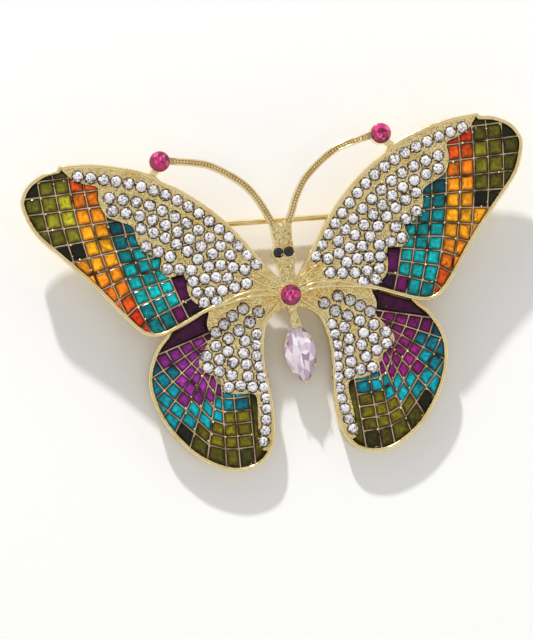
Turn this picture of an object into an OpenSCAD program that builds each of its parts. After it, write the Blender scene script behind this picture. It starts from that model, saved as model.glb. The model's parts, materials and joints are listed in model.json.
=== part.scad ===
// Butterfly brooch: two upper and two lower wing trays, enamel cells, pave stones,
// a body with antennae, a navette tail stone, and a hinged pin with a turning lock.
// Millimetres. The brooch lies face up: +X across the wings, +Y to the head.

/* [Whole brooch] */
// Lean of the brooch's plane as it lies on its pin catch and lower wing ends, degrees
rest_tilt = 5; // [4.8:0.1:6.5]

/* [Wing trays] */
// Height of a lower wing's rim above its back
lower_rim_h = 2.2; // [1.8:0.1:2.6]
// Height of the upper wings' backs above the lower wings' backs
upper_back_z = 1.3; // [1:0.1:1.5]
// Height of an upper wing's rim above its own back
upper_rim_h = 2.1; // [1.8:0.1:2.6]
// Thickness of a tray's floor
floor_t = 0.6; // [0.4:0.1:0.9]
// Width of the rim around the enamel
rim_w = 0.45; // [0.3:0.05:0.7]

/* [Enamel] */
// Width of a cell wall
wall_w = 0.14; // [0.13:0.01:0.3]
// Radius of an enamel tile's corners
tile_corner = 0.14; // [0.05:0.01:0.25]
// Depth of the enamel's surface below the rim
enamel_drop = 0.35; // [0.2:0.05:0.6]

/* [Stones] */
// Radius of a pave stone in the wings' fields
pave_r = 0.72; // [0.55:0.01:0.72]
// Radius of a stone in the row along a leading edge
edge_r = 0.7; // [0.55:0.01:0.74]
// Radius of a stone in a lower wing's inner string
string_r = 0.68; // [0.55:0.01:0.68]
// Radius of the thorax stone
thorax_stone_r = 1.35; // [1.1:0.05:1.45]
// Radius of an eye stone
eye_stone_r = 0.66; // [0.5:0.01:0.66]
// Radius of an antenna's end stone
tip_stone_r = 1.3; // [1:0.05:1.35]
// Length of the navette
navette_l = 8; // [7:0.1:8.4]
// Width of the navette
navette_w = 4.2; // [3.6:0.1:4.4]

/* [Antennae] */
// Width of an antenna
antenna_w = 0.9; // [0.7:0.05:1.1]

/* [Pin] */
// Radius of the pin wire
pin_r = 0.4; // [0.3:0.01:0.42]
// Half the distance from the hinge rivet to the middle of the catch
pin_half = 16; // [15:0.1:16.5]
// Skew of the pin to the X axis, degrees
pin_skew = -3.3; // [-4:0.1:0]
// Distance of the pin's middle from the thorax stone
pin_y = 9.85; // [9:0.05:10.5]
// Depth of the pin's middle below the lower wings' backs
pin_drop = 0.95; // [0.8:0.01:0.98]
// Turn of the lock sleeve from open, degrees
sleeve_turn = 0; // [0:5:100]
// Swing of the pin from closed, degrees
pin_open = 0; // [0:5:100]

/* [Hidden] */
$fn = 32;

// Brooch colours
gold = "#d9bf7c";
crystal = "#eef0f4";

// Lowest point of the lower wings in the brooch's own plane, and the whole outline's top
wings_bottom_y = -21.6;
wings_top_y = 20.4;
centre_y = (wings_top_y + wings_bottom_y) / 2;

// Upper wing levels
upper_top_z = upper_back_z + upper_rim_h;
upper_floor_z = upper_back_z + floor_t;
upper_enamel_z = upper_top_z - enamel_drop;
lower_enamel_z = lower_rim_h - enamel_drop;
pin_z = -pin_drop;

// A length that cuts right through any part of the brooch
through = 10;

// Stands the brooch on its catch and its lower wing ends
module at_rest() {
    translate([0, -centre_y, -wings_bottom_y * sin(rest_tilt)])
        rotate([rest_tilt, 0, 0])
            children();
}

// One side's copy: 1 is the wearer's left, seen at the right, and -1 is its mirror image
module on_side(side) {
    at_rest()
        mirror([side < 0 ? 1 : 0, 0, 0])
            children();
}

// A cylinder standing on a point
module cylinder_at(p, r, h) {
    translate(p)
        cylinder(h = h, r = r);
}

// ---- Curves -------------------------------------------------------------------

// A point on the smooth curve from b to c, with a and d as the neighbours
function spline(a, b, c, d, t) =
    0.5 * (2 * b + (c - a) * t + (2 * a - 5 * b + 4 * c - d) * t * t
        + (3 * b - a - 3 * c + d) * t * t * t);

// A smooth open curve through points, with steps points on each span
function curve(p, steps = 4) = [
    for (i = [0:len(p) - 2])
        for (s = [0:steps - 1])
            spline(p[max(i - 1, 0)], p[i], p[i + 1], p[min(i + 2, len(p) - 1)], s / steps),
    p[len(p) - 1]
];

// Length of a curve up to its point i
function run(p, i) = i == 0 ? 0 : run(p, i - 1) + norm(p[i] - p[i - 1]);

// The point a distance along a curve
function along(p, dist, i = 0) =
    let (step = norm(p[i + 1] - p[i]))
    dist <= step || i == len(p) - 2
        ? p[i] + (p[i + 1] - p[i]) * dist / step
        : along(p, dist - step, i + 1);

// Evenly spaced places on a smooth curve, both ends included
function row(p, count) =
    let (c = curve(p, 6), total = run(c, len(c) - 1))
    [for (i = [0:count - 1]) along(c, total * i / (count - 1))];

// The unit normal of a curve at its point i, to its left
function normal(p, i) =
    let (d = p[min(i + 1, len(p) - 1)] - p[max(i - 1, 0)])
    [-d[1], d[0]] / norm(d);

// A band of a given width whose middle is moved to the left of a curve
function band(p, width, shift = 0) = concat(
    [for (i = [0:len(p) - 1]) p[i] + normal(p, i) * (shift + width / 2)],
    [for (i = [len(p) - 1:-1:0]) p[i] + normal(p, i) * (shift - width / 2)]
);

// ---- Upper wing outlines ------------------------------------------------------

// Leading edge up to the antenna, then from there to the corner of the tip
upper_lead = curve([[0.6, 1.5], [3, 4.7], [6.6, 9.8], [9.2, 12.6], [12.2, 15.1], [14.6, 16.5]]);
upper_brow = curve([[15.2, 17.3], [18.2, 18.6], [23, 19.8], [27.2, 20.1]]);
// Round tip and trailing edge down to the lowest lobe
upper_tail = curve([
    [27.5, 19.7], [29.3, 19.4], [31.2, 18.4], [32.3, 17], [32.6, 15.3], [31.3, 11.8],
    [28.3, 8.3], [24.8, 4.3], [21.6, 0], [20.3, -1.6]
]);
// Lower edge back to the root
upper_under = curve([[19.3, -2.5], [17.9, -3], [16.2, -2.8], [13.6, -1.8], [10.3, -0.5], [5.5, 0.3]]);
upper_root = [[1.2, 0.4], [0.6, 0.9]];

// Inner line of the gold pave field, from the leading edge to the lower edge
pave_line = curve([
    [27.5, 20.3], [25.8, 18.3], [24.2, 17.4], [22.75, 16.8], [22.8, 15], [22.1, 13.1], [20.4, 12.1],
    [18.9, 11.2], [18.6, 9.2], [17.5, 7.65], [15.9, 6.85], [16.2, 5.4], [15.2, 4.3], [13.1, 4.4],
    [13.1, 2.4], [12.4, 0.7], [10.2, -0.55]
]);

module upper_outline() {
    polygon(concat(upper_lead, upper_brow, upper_tail, upper_under, upper_root));
}

module upper_pave_area() {
    intersection() {
        upper_outline();
        polygon(concat(pave_line, [[5, -1], [0, 0], [0, 22], [27.5, 22]]));
    }
}

module upper_enamel_area() {
    difference() {
        offset(delta = -rim_w)
            upper_outline();
        upper_pave_area();
    }
}

// ---- Lower wing outlines ------------------------------------------------------

lower_edge = curve([
    [0.7, -1.5], [2.2, -2.1], [3.5, -3.4], [4.2, -6], [4.35, -9], [4, -13.5], [4.4, -18], [6, -20.7],
    [9, -21.6], [12, -20.8], [15.2, -18.5], [18.1, -14.5], [19.4, -10.5], [19.3, -7.5], [18, -4.7],
    [16.6, -3.2]
]);
lower_lap = [[15.2, -1.4], [10, 0.6], [2, 1.2], [0.7, 0.6]];
lower_pave_line = curve([
    [10.2, 1], [10.7, -1], [11.1, -2.4], [10.8, -4], [11.6, -5.1], [12.8, -7], [12.2, -8.4],
    [10.4, -9.5], [10.3, -11.1], [8.3, -11.75], [6.3, -12], [6, -13.5], [6.5, -16.5], [6.6, -18.8],
    [5.4, -19.6]
]);

module lower_outline() {
    polygon(concat(lower_edge, lower_lap));
}

module lower_pave_area() {
    intersection() {
        lower_outline();
        polygon(concat(lower_pave_line, [[3.5, -19.6], [0, -10], [0, 2]]));
    }
}

module lower_enamel_area() {
    difference() {
        offset(delta = -rim_w)
            lower_outline();
        lower_pave_area();
    }
}

// ---- Body outline -------------------------------------------------------------

// What is cut out of a neighbour to let the body in
module body_space() {
    translate([0, 0, -through / 2])
        linear_extrude(2 * through)
            body_outline();
}

module body_outline() {
    circle(r = collar_r);
    for (s = [-1, 1])
        translate([head_x + s * eye_x, eye_y])
            circle(r = eye_stone_r + eye_wall);
    polygon([
        [-0.6, -1.2], [-1.2, 1], [-0.95, 3], [-1.25, 4.7], [-1.15, 7.4], [-1.35, 9.1], [-0.7, 9.7],
        [0, 8.9], [0.7, 9.7], [1.35, 9.1], [1.15, 7.4], [1.25, 4.7], [0.95, 3], [1.2, 1], [0.6, -1.2]
    ]);
    polygon([[-0.7, -1.2], [-0.4, -2.3], [-0.3, -4.3], [0.9, -4.3], [0.5, -2.3], [0.7, -1.2]]);
}

// ---- Stones -------------------------------------------------------------------

// Leading edge row, then the rows of the field, each as its points and its count
edge_row = row([[3.9, 4.5], [6.7, 8.1], [10.9, 12.4], [14.5, 14.9], [19, 16.9], [25, 18.5]], 17);
upper_rows = [
    [[[7, 6.1], [9.1, 8.5], [13, 11.55], [17, 14], [21.4, 15.3]], 11],
    [[[9.3, 6.55], [12.3, 9.1], [15, 11.1], [17.8, 12.5], [21.2, 13.65]], 9],
    [[[10, 5], [11.4, 6.3], [13.2, 8], [15.6, 9.75], [17.9, 10.95]], 7],
    [[[14.7, 6.9], [17.6, 8.55]], 3],
    [[[5.4, 4], [8.4, 5]], 3],
    [[[12.25, 4.85], [15.25, 5.4]], 3],
    [[[7.75, 3.2], [9.6, 3.55], [12.2, 3.4]], 4],
    [[[5.45, 2.2], [8.6, 1.75], [11.85, 1.92]], 5],
    [[[9.55, 0.45], [11.15, 0.55]], 2]
];
lower_rows = [
    [[[4.3, -1.6], [6.2, -0.95]], 2],
    [[[7.7, -1.7], [10.1, -3.5]], 3],
    [[[5.6, -2.8], [8.6, -4.5]], 3],
    [[[6.5, -5.05], [8.9, -6.1]], 2],
    [[[10.35, -5.2], [11.75, -6.35]], 2],
    [[[6.9, -6.6], [8.4, -7.6]], 2],
    [[[10.1, -7], [11.7, -7.85]], 2],
    [[[6.7, -8.1], [6.75, -9.6]], 2],
    [[[10.3, -8.5], [8.8, -9.2]], 2],
    [[[6.35, -11.05], [7.85, -10.7], [9.4, -10.7]], 3]
];
string_row = row([
    [4.9, -4.4], [5.25, -6.9], [5, -9.7], [4.8, -12.5], [5.05, -15.1], [5.85, -18.2]
], 11);

function places(rows) = [for (r = rows) each row(r[0], r[1])];
upper_field = places(upper_rows);
lower_field = places(lower_rows);

// A round brilliant: pointed below, girdle at its own zero, flat table above
module round_stone(r) {
    rotate_extrude($fn = 24)
        polygon([[0, -0.75 * r], [r, -0.12 * r], [r, 0.05 * r], [0.6 * r, 0.42 * r], [0, 0.42 * r]]);
}

// The drilled seat that a round stone sits in
module seat(r) {
    translate([0, 0, -0.8 * r])
        cylinder(h = 3 * r, r = r, $fn = 24);
}

module round_stones(points, r, z) {
    for (p = points)
        translate([p[0], p[1], z])
            round_stone(r);
}

module seats(points, r, z) {
    for (p = points)
        translate([p[0], p[1], z])
            seat(r);
}

upper_stone_z = upper_top_z - 0.05;
lower_stone_z = lower_rim_h - 0.05;

// ---- Enamel grid --------------------------------------------------------------

// The line between teal and orange on an upper wing: x at a height y
function split_x(y) = 22.3 - 0.1 * (14 - y) - 0.0085 * (14 - y) * (14 - y);

// Where a row starts on that line, and how much it falls per millimetre outward
upper_row_y = [20.6, 18.5, 16.5, 14.4, 12.3, 10.4, 8.5, 6.7, 4.9, 3.1, 1.2, -1, -4.4];
upper_column_x = [-9.2, -7.3, -5.4, -3.7, -1.9, 0, 1.9, 3.7, 5.6, 7.6, 10.5];
function row_fall(y, u) = (u > 0 ? 0.0034 : 0.0014) * (14.4 - min(y, 14.4)) * (14.4 - min(y, 14.4));
function upper_node(i, j) =
    let (u = upper_column_x[i], y = upper_row_y[j] - row_fall(upper_row_y[j], u) * u)
    [split_x(y) + u, y];

// Fan of lines on a lower wing, outer ends and inner ends, and their cross lines' depths.
// The last outer ends lie beyond the wing, so that the cross lines meet the fan squarely.
fan_out = [
    [5.2, -22], [7.3, -22], [9.3, -22], [11.1, -21.8], [13.7, -20.9], [15.9, -18.9], [17.9, -16.9],
    [19.8, -15], [21.6, -12.9], [23.3, -10.2], [24.6, -7.2], [25.2, -4.6]
];
fan_in = [
    [4.6, -11.4], [6.9, -11.4], [8.9, -12], [10.4, -12], [11.3, -11.6], [12.1, -10.3], [12.7, -9.1],
    [12.9, -7.7], [12.6, -6.2], [11.9, -4.8], [11.2, -3.5], [10.6, -0.4]
];
fan_depth = [-1, 3.3, 4.9, 6.5, 8.1, 9.8, 11.5, 13.2, 15];
function fan_length(i) = norm(fan_in[i] - fan_out[i]);
function fan_node(i, k) =
    fan_out[i] + (fan_in[i] - fan_out[i]) * fan_depth[k] / fan_length(i);

function middle(q) = (q[0] + q[1] + q[2] + q[3]) / 4;

// The four corners of a tile between two columns and two rows of a grid
function upper_tile(i, i_end, j, j_end) =
    [upper_node(i, j), upper_node(i_end, j), upper_node(i_end, j_end), upper_node(i, j_end)];
function lower_tile(i, k, k_end) =
    [fan_node(i, k), fan_node(i + 1, k), fan_node(i + 1, k_end), fan_node(i, k_end)];

upper_last = len(upper_row_y) - 1;
fan_last = len(fan_out) - 2;
depth_last = len(fan_depth) - 1;

// The tall column and the wedge below it, next to the pave field, are single tiles
column_top = 8;
upper_tiles = [
    for (i = [0:len(upper_column_x) - 2])
        for (j = [0:upper_last - 1])
            if (!(i < 2 && (j == upper_last - 1 || j >= column_top)))
                upper_tile(i, i + 1, j, j + 1),
    upper_tile(1, 2, column_top, upper_last - 1),
    upper_tile(0, 2, upper_last - 1, upper_last)
];

// So are the strip beside the string of stones and the band under the upper wing.
// The other tiles stop where their lines end, before the lines can cross.
lower_tiles = [
    for (i = [1:fan_last - 1])
        for (k = [0:depth_last - 1])
            if (fan_depth[k] < min(fan_length(i), fan_length(i + 1)) + 0.6)
                lower_tile(i, k, k + 1),
    lower_tile(0, 0, depth_last),
    lower_tile(fan_last, 0, depth_last)
];

// A tile's colour from its middle
function upper_colour(m) =
    let (u = m[0] - split_x(m[1]))
    u > 3.6 && m[1] > 8 ? "olive"
    : u > 0 ? "orange"
    : u < -5.4 && m[1] < 5.2 || u < -3.4 && m[1] < 0.6 ? "purple"
    : "teal";
function lower_colour(m) =
    m[1] < -14.4 - 0.1 * (m[0] - 8) || m[0] < 7.1 ? "olive"
    : m[1] > -11.9 && m[0] > 10.6 && (m[0] < 15.9 || m[1] > -6.4) ? "purple"
    : "teal";

// A tile's rounded top view
module tile(q) {
    offset(r = tile_corner, $fn = 12)
        offset(delta = -wall_w / 2 - tile_corner)
            polygon(q);
}

// The tiles of one colour, clipped to an area, 0.01 clear of what holds them
module upper_tile_shapes(colour) {
    offset(delta = -0.01)
        intersection() {
            upper_enamel_area();
            for (q = upper_tiles)
                if (colour == "any" || upper_colour(middle(q)) == colour)
                    tile(q);
        }
}

module lower_tile_shapes(colour) {
    offset(delta = -0.01)
        intersection() {
            difference() {
                lower_enamel_area();
                offset(delta = 0.15)
                    upper_outline();
            }
            for (q = lower_tiles)
                if (colour == "any" || lower_colour(middle(q)) == colour)
                    tile(q);
        }
}

// ---- Wings --------------------------------------------------------------------

// Veins of a wing's root, each from the thorax outward
upper_veins = [
    [[1.5, 2.1], [4.6, 3.2]],
    [[2.2, 1.3], [6, 1.05], [9, 0.2]]
];

module upper_wing() {
    difference() {
        translate([0, 0, upper_back_z])
            union() {
                linear_extrude(floor_t)
                    upper_outline();
                linear_extrude(upper_rim_h)
                    difference() {
                        upper_outline();
                        offset(delta = -rim_w)
                            upper_outline();
                    }
                linear_extrude(upper_rim_h - 0.15)
                    upper_pave_area();
                linear_extrude(upper_rim_h + 0.15)
                    offset(delta = 0.001)
                        intersection() {
                            upper_outline();
                            polygon(band(curve([
                                [5, 4.9], [8.3, 8.55], [12, 11.95], [15.2, 14.1], [20, 16.1]
                            ]), 0.3));
                        }
                for (v = upper_veins)
                    linear_extrude(upper_rim_h + 0.1)
                        polygon(band(curve(v), 0.35));
            }
        seats(edge_row, edge_r, upper_stone_z);
        seats(upper_field, pave_r, upper_stone_z);
        body_space();
    }
}

module lower_wing() {
    difference() {
        union() {
            linear_extrude(floor_t)
                lower_outline();
            linear_extrude(lower_rim_h)
                difference() {
                    lower_outline();
                    offset(delta = -rim_w)
                        lower_outline();
                }
            linear_extrude(lower_rim_h - 0.15)
                lower_pave_area();
        }
        seats(lower_field, pave_r, lower_stone_z);
        seats(string_row, string_r, lower_stone_z);
        translate([0, 0, upper_back_z])
            linear_extrude(5)
                upper_outline();
        body_space();
    }
}

// Drops what is thinner than a wall can be, and leaves the rest 0.005 clear all round.
// Round corners both ways, so that the result stays inside the space it came from.
module without_slivers() {
    offset(r = 0.05, $fn = 12)
        offset(r = -0.055, $fn = 12)
            children();
}

module upper_cells() {
    translate([0, 0, upper_floor_z])
        linear_extrude(upper_enamel_z - upper_floor_z + 0.1)
            without_slivers()
                difference() {
                    upper_enamel_area();
                    upper_tile_shapes("any");
                }
}

module lower_cells() {
    translate([0, 0, floor_t])
        linear_extrude(lower_enamel_z - floor_t + 0.1)
            without_slivers()
                difference() {
                    lower_enamel_area();
                    lower_tile_shapes("any");
                    offset(delta = 0.05)
                        upper_outline();
                }
}

module upper_enamel(colour) {
    translate([0, 0, upper_floor_z])
        linear_extrude(upper_enamel_z - upper_floor_z)
            upper_tile_shapes(colour);
}

module lower_enamel(colour) {
    translate([0, 0, floor_t])
        linear_extrude(lower_enamel_z - floor_t)
            lower_tile_shapes(colour);
}

// ---- Body ---------------------------------------------------------------------

body_back_z = 0.4;
body_top_z = 3.1;
collar_r = 1.5;
thorax_stone_z = 3.5;
eye_z = 3.5;
eye_x = 0.67;
head_x = -0.2;
eye_y = 5.57;
eye_wall = 0.12;

module body_casting() {
    difference() {
        union() {
            translate([0, 0, body_back_z])
                linear_extrude(body_top_z - body_back_z)
                    body_outline();
            // Collars of the thorax stone and of the eyes
            cylinder_at([0, 0, body_back_z], collar_r, thorax_stone_z - body_back_z);
            for (s = [-1, 1])
                cylinder_at([head_x + s * eye_x, eye_y, body_back_z],
                    eye_stone_r + eye_wall, eye_z - body_back_z);
        }
        translate([0, 0, thorax_stone_z])
            seat(thorax_stone_r);
        for (s = [-1, 1])
            translate([head_x + s * eye_x, eye_y, eye_z])
                seat(eye_stone_r);
        navette_frame() {
            navette_base();
            navette_body(0.01);
            cylinder_at([0, end_claw_y, 0], claw_r, through);
        }
    }
}

// ---- Antennae -----------------------------------------------------------------

antenna_line = curve([
    [0.8, 9], [1.5, 10.4], [2.4, 12.4], [3.7, 14.4], [5.3, 15.9], [7.3, 17.3], [9.3, 18.2],
    [13.4, 19.06]
]);
antenna_z = 2.3;
tip = [14.4, 19.1];
tip_cup_r = 1.34;
tip_stone_z = upper_top_z - 0.05;

module antenna() {
    difference() {
        translate([0, 0, antenna_z])
            union() {
                linear_extrude(0.75)
                    polygon(band(antenna_line, antenna_w));
                for (s = [-1, 1])
                    linear_extrude(1)
                        polygon(band(antenna_line, 0.28, s * (antenna_w / 2 - 0.14)));
            }
        body_space();
        cylinder_at([tip[0], tip[1], 0], tip_cup_r, through);
    }
}

module tip_cup() {
    difference() {
        union() {
            cylinder_at([tip[0], tip[1], upper_back_z], tip_cup_r,
                tip_stone_z - 0.12 * tip_stone_r - upper_back_z);
            translate([0, 0, upper_back_z + 0.3])
                linear_extrude(1.2)
                    polygon(band([tip + [0.4, -0.9], [15.9, 17.2]], 0.9));
        }
        translate([tip[0], tip[1], tip_stone_z])
            round_stone(tip_stone_r);
        translate([0, 0, -through / 2])
            linear_extrude(2 * through)
                upper_outline();
    }
}

// ---- Tail stone ---------------------------------------------------------------

navette_at = [0.4, -7.56];
navette_girdle_z = 2;
navette_turn = 3;
claw_r = 0.18;
claw_z = 1;
claw_h = 1.5;
// Places of the side claws and distance of the end claws from the navette's middle
claw_x = 1.5;
claw_y = 1.85;
end_claw_y = 3.75;

// Radius of the two arcs that bound a pointed oval
function oval_r(l, w) = (l * l + w * w) / (4 * w);

// A pointed oval solid: two turned discs crossed, from points of inset and height
module pointed_oval(l, w, profile) {
    r = oval_r(l, w);
    intersection_for (s = [-1, 1])
        translate([s * (r - w / 2), 0, 0])
            rotate_extrude($fn = 96)
                polygon(concat(
                    [[0, profile[0][1]]],
                    [for (p = profile) [r - p[0], p[1]]],
                    [[0, profile[len(profile) - 1][1]]]
                ));
}

module navette_frame() {
    translate([navette_at[0], navette_at[1], 0])
        rotate([0, 0, navette_turn])
            children();
}

module navette_cup() {
    navette_frame()
        difference() {
            union() {
                navette_base();
                for (sx = [-1, 1])
                    for (sy = [-1, 1])
                        cylinder_at([sx * claw_x, sy * claw_y, claw_z], claw_r, claw_h);
                for (sy = [-1, 1])
                    cylinder_at([0, sy * end_claw_y, claw_z], claw_r, claw_h);
            }
            navette_body(0.01);
        }
}

// Outside of the cup below the stone's girdle
module navette_base() {
    pointed_oval(navette_l - 0.2, navette_w - 0.2, [[0, body_back_z], [0, navette_girdle_z - 0.2]]);
}

// The navette itself; grow makes the seat that is cut for it
module navette_body(grow = 0) {
    pointed_oval(navette_l + 2 * grow, navette_w + 2 * grow, [
        [1.5, navette_girdle_z - 1.1], [0, navette_girdle_z - 0.15], [0, navette_girdle_z + 0.1],
        [0.75, navette_girdle_z + 0.75]
    ]);
}

module navette_stone() {
    navette_frame()
        navette_body();
}

// ---- Pin, hinge and catch -----------------------------------------------------

// Frame of the pin: X along the wire, from the hinge at -pin_half to the catch
module pin_frame() {
    at_rest()
        translate([0, pin_y, pin_z])
            rotate([0, 0, pin_skew])
                children();
}

back_gap = upper_back_z - pin_z;
cheek_in = 0.75;
cheek_t = 0.6;

// Radius that reaches the table from the pin's middle, at a distance x along the pin
function foot_r(x) =
    (pin_y + x * sin(pin_skew) - wings_bottom_y) * sin(rest_tilt) - pin_drop * cos(rest_tilt);
catch_r = foot_r(pin_half);
cheek_r = foot_r(-pin_half) - (cheek_in + cheek_t) * sin(rest_tilt);
rivet_r = 0.4;
eye_bore_r = 0.45;
eye_r = 0.95;
eye_half = 0.65;
straight_end = pin_half - 2.6;
root_r = 0.6;
root_l = 2.1;
point_l = pin_half - straight_end + 2.4;
housing_half = 1.7;
lever_half = 0.45;
sleeve_r = 1.25;
sleeve_bore_r = 0.55;
sleeve_slot = 0.96;
run_gap = 0.08;

module hinge_bracket() {
    pin_frame()
        translate([-pin_half, 0, 0])
            difference() {
                union() {
                    // Base plate against the back of the wing
                    translate([-1.9, -cheek_in - cheek_t - 0.6, back_gap - 0.4])
                        cube([3.8, 2 * (cheek_in + cheek_t) + 1.2, 0.4]);
                    for (s = [-1, 1])
                        translate([0, s * (cheek_in + cheek_t / 2), 0]) {
                            rotate([90, 0, 0])
                                cylinder(h = cheek_t, r = cheek_r, center = true);
                            translate([-cheek_r, -cheek_t / 2, 0])
                                cube([2 * cheek_r, cheek_t, back_gap]);
                        }
                }
                rotate([90, 0, 0])
                    cylinder(h = 10, r = rivet_r, center = true);
            }
}

module hinge_rivet() {
    pin_frame()
        translate([-pin_half, 0, 0])
            rotate([90, 0, 0]) {
                cylinder(h = 2 * (cheek_in + cheek_t), r = rivet_r, center = true);
                for (s = [-1, 1])
                    translate([0, 0, s * (cheek_in + cheek_t + 0.15)])
                        cylinder(h = 0.3, r = rivet_r + 0.3, center = true);
            }
}

module pin_stem() {
    pin_frame()
        translate([-pin_half, 0, 0])
            rotate([0, pin_open, 0])
                difference() {
                    union() {
                        rotate([90, 0, 0])
                            cylinder(h = 2 * eye_half, r = eye_r, center = true);
                        rotate([0, 90, 0])
                            cylinder(h = root_l, r1 = root_r, r2 = pin_r);
                        rotate([0, 90, 0])
                            cylinder(h = pin_half + straight_end, r = pin_r);
                        translate([pin_half + straight_end, 0, 0])
                            rotate([0, 90, 0])
                                cylinder(h = point_l, r1 = pin_r, r2 = 0.08);
                    }
                    rotate([90, 0, 0])
                        cylinder(h = 4, r = eye_bore_r, center = true);
                }
}

module catch_housing() {
    pin_frame()
        translate([pin_half, 0, 0])
            difference() {
                union() {
                    translate([-2.1, -2.2, back_gap - 0.4])
                        cube([4.2, 4.4, 0.4]);
                    rotate([0, 90, 0])
                        cylinder(h = 2 * housing_half, r = catch_r, center = true);
                    translate([-housing_half, -1.2, 0])
                        cube([2 * housing_half, 2.4, back_gap]);
                }
                // Bore for the sleeve, mouth for the pin, window for the lever
                rotate([0, 90, 0])
                    cylinder(h = 10, r = sleeve_r + run_gap, center = true);
                translate([-5, -sleeve_slot / 2, -5])
                    cube([10, sleeve_slot, 5]);
                rotate([0, 90, 0])
                    difference() {
                        cylinder(h = 2 * (lever_half + run_gap), r = 4, center = true);
                        translate([-4.9 - 1.3, -5, -5])
                            cube([4.9, 10, 10]);
                    }
            }
}

module lock_sleeve() {
    pin_frame()
        translate([pin_half, 0, 0])
            rotate([-sleeve_turn, 0, 0])
                difference() {
                    union() {
                        rotate([0, 90, 0])
                            cylinder(h = 2 * housing_half + 0.4, r = sleeve_r, center = true);
                        // Thumb lever in the housing's window
                        translate([-lever_half, 0.9, -0.3])
                            cube([2 * lever_half, 2.2, 0.6]);
                    }
                    rotate([0, 90, 0])
                        cylinder(h = 10, r = sleeve_bore_r, center = true);
                    translate([-5, -sleeve_slot / 2, -5])
                        cube([10, sleeve_slot, 5]);
                }
}

// ---- Coloured pieces ----------------------------------------------------------

module gold_piece(side = 1) {
    color(gold)
        on_side(side)
            children();
}

module stone_row(side, points, r, z) {
    color(crystal)
        on_side(side)
            round_stones(points, r, z);
}

module tip_stone(side) {
    color("#c4125e")
        on_side(side)
            translate([tip[0], tip[1], tip_stone_z])
                round_stone(tip_stone_r);
}

module eye_stones() {
    color("#101014")
        at_rest()
            for (s = [-1, 1])
                translate([head_x + s * eye_x, eye_y, eye_z])
                    round_stone(eye_stone_r);
}

module thorax_stone() {
    color("#c4125e")
        at_rest()
            translate([0, 0, thorax_stone_z])
                round_stone(thorax_stone_r);
}

// ---- Nodes --------------------------------------------------------------------

gold_piece() body_casting();
gold_piece(1) upper_wing();  // upper_wing_right
gold_piece(-1) upper_wing();  // upper_wing_left
gold_piece(1) lower_wing();  // lower_wing_right
gold_piece(-1) lower_wing();  // lower_wing_left
gold_piece(1) upper_cells();  // upper_cells_right
gold_piece(-1) upper_cells();  // upper_cells_left
gold_piece(1) lower_cells();  // lower_cells_right
gold_piece(-1) lower_cells();  // lower_cells_left
color("#5d5a14") on_side(1) upper_enamel("olive");  // upper_olive_right
color("#5d5a14") on_side(-1) upper_enamel("olive");  // upper_olive_left
color("#f07c10") on_side(1) upper_enamel("orange");  // upper_orange_right
color("#f07c10") on_side(-1) upper_enamel("orange");  // upper_orange_left
color("#0f9a9c") on_side(1) upper_enamel("teal");  // upper_teal_right
color("#0f9a9c") on_side(-1) upper_enamel("teal");  // upper_teal_left
color("#541244") on_side(1) upper_enamel("purple");  // upper_purple_right
color("#541244") on_side(-1) upper_enamel("purple");  // upper_purple_left
color("#7a1766") on_side(1) lower_enamel("purple");  // lower_purple_right
color("#7a1766") on_side(-1) lower_enamel("purple");  // lower_purple_left
color("#12a0ae") on_side(1) lower_enamel("teal");  // lower_teal_right
color("#12a0ae") on_side(-1) lower_enamel("teal");  // lower_teal_left
color("#6f6a10") on_side(1) lower_enamel("olive");  // lower_olive_right
color("#6f6a10") on_side(-1) lower_enamel("olive");  // lower_olive_left
stone_row(1, edge_row, edge_r, upper_stone_z);  // edge_stones_right
stone_row(-1, edge_row, edge_r, upper_stone_z);  // edge_stones_left
stone_row(1, upper_field, pave_r, upper_stone_z);  // upper_stones_right
stone_row(-1, upper_field, pave_r, upper_stone_z);  // upper_stones_left
stone_row(1, lower_field, pave_r, lower_stone_z);  // lower_stones_right
stone_row(-1, lower_field, pave_r, lower_stone_z);  // lower_stones_left
stone_row(1, string_row, string_r, lower_stone_z);  // string_stones_right
stone_row(-1, string_row, string_r, lower_stone_z);  // string_stones_left
gold_piece(1) antenna();  // antenna_right
gold_piece(-1) antenna();  // antenna_left
gold_piece(1) tip_cup();  // tip_cup_right
gold_piece(-1) tip_cup();  // tip_cup_left
tip_stone(1);  // tip_stone_right
tip_stone(-1);  // tip_stone_left
eye_stones();
thorax_stone();
gold_piece() navette_cup();
color("#e8d3e2") on_side(1) navette_stone();
color(gold) hinge_bracket();
color(gold) hinge_rivet();
color(gold) pin_stem();
color(gold) catch_housing();
color(gold) lock_sleeve();
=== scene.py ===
import json
import math
import random

import bmesh
import bpy
from mathutils import Matrix, Vector
from mathutils.geometry import delaunay_2d_cdt


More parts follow.
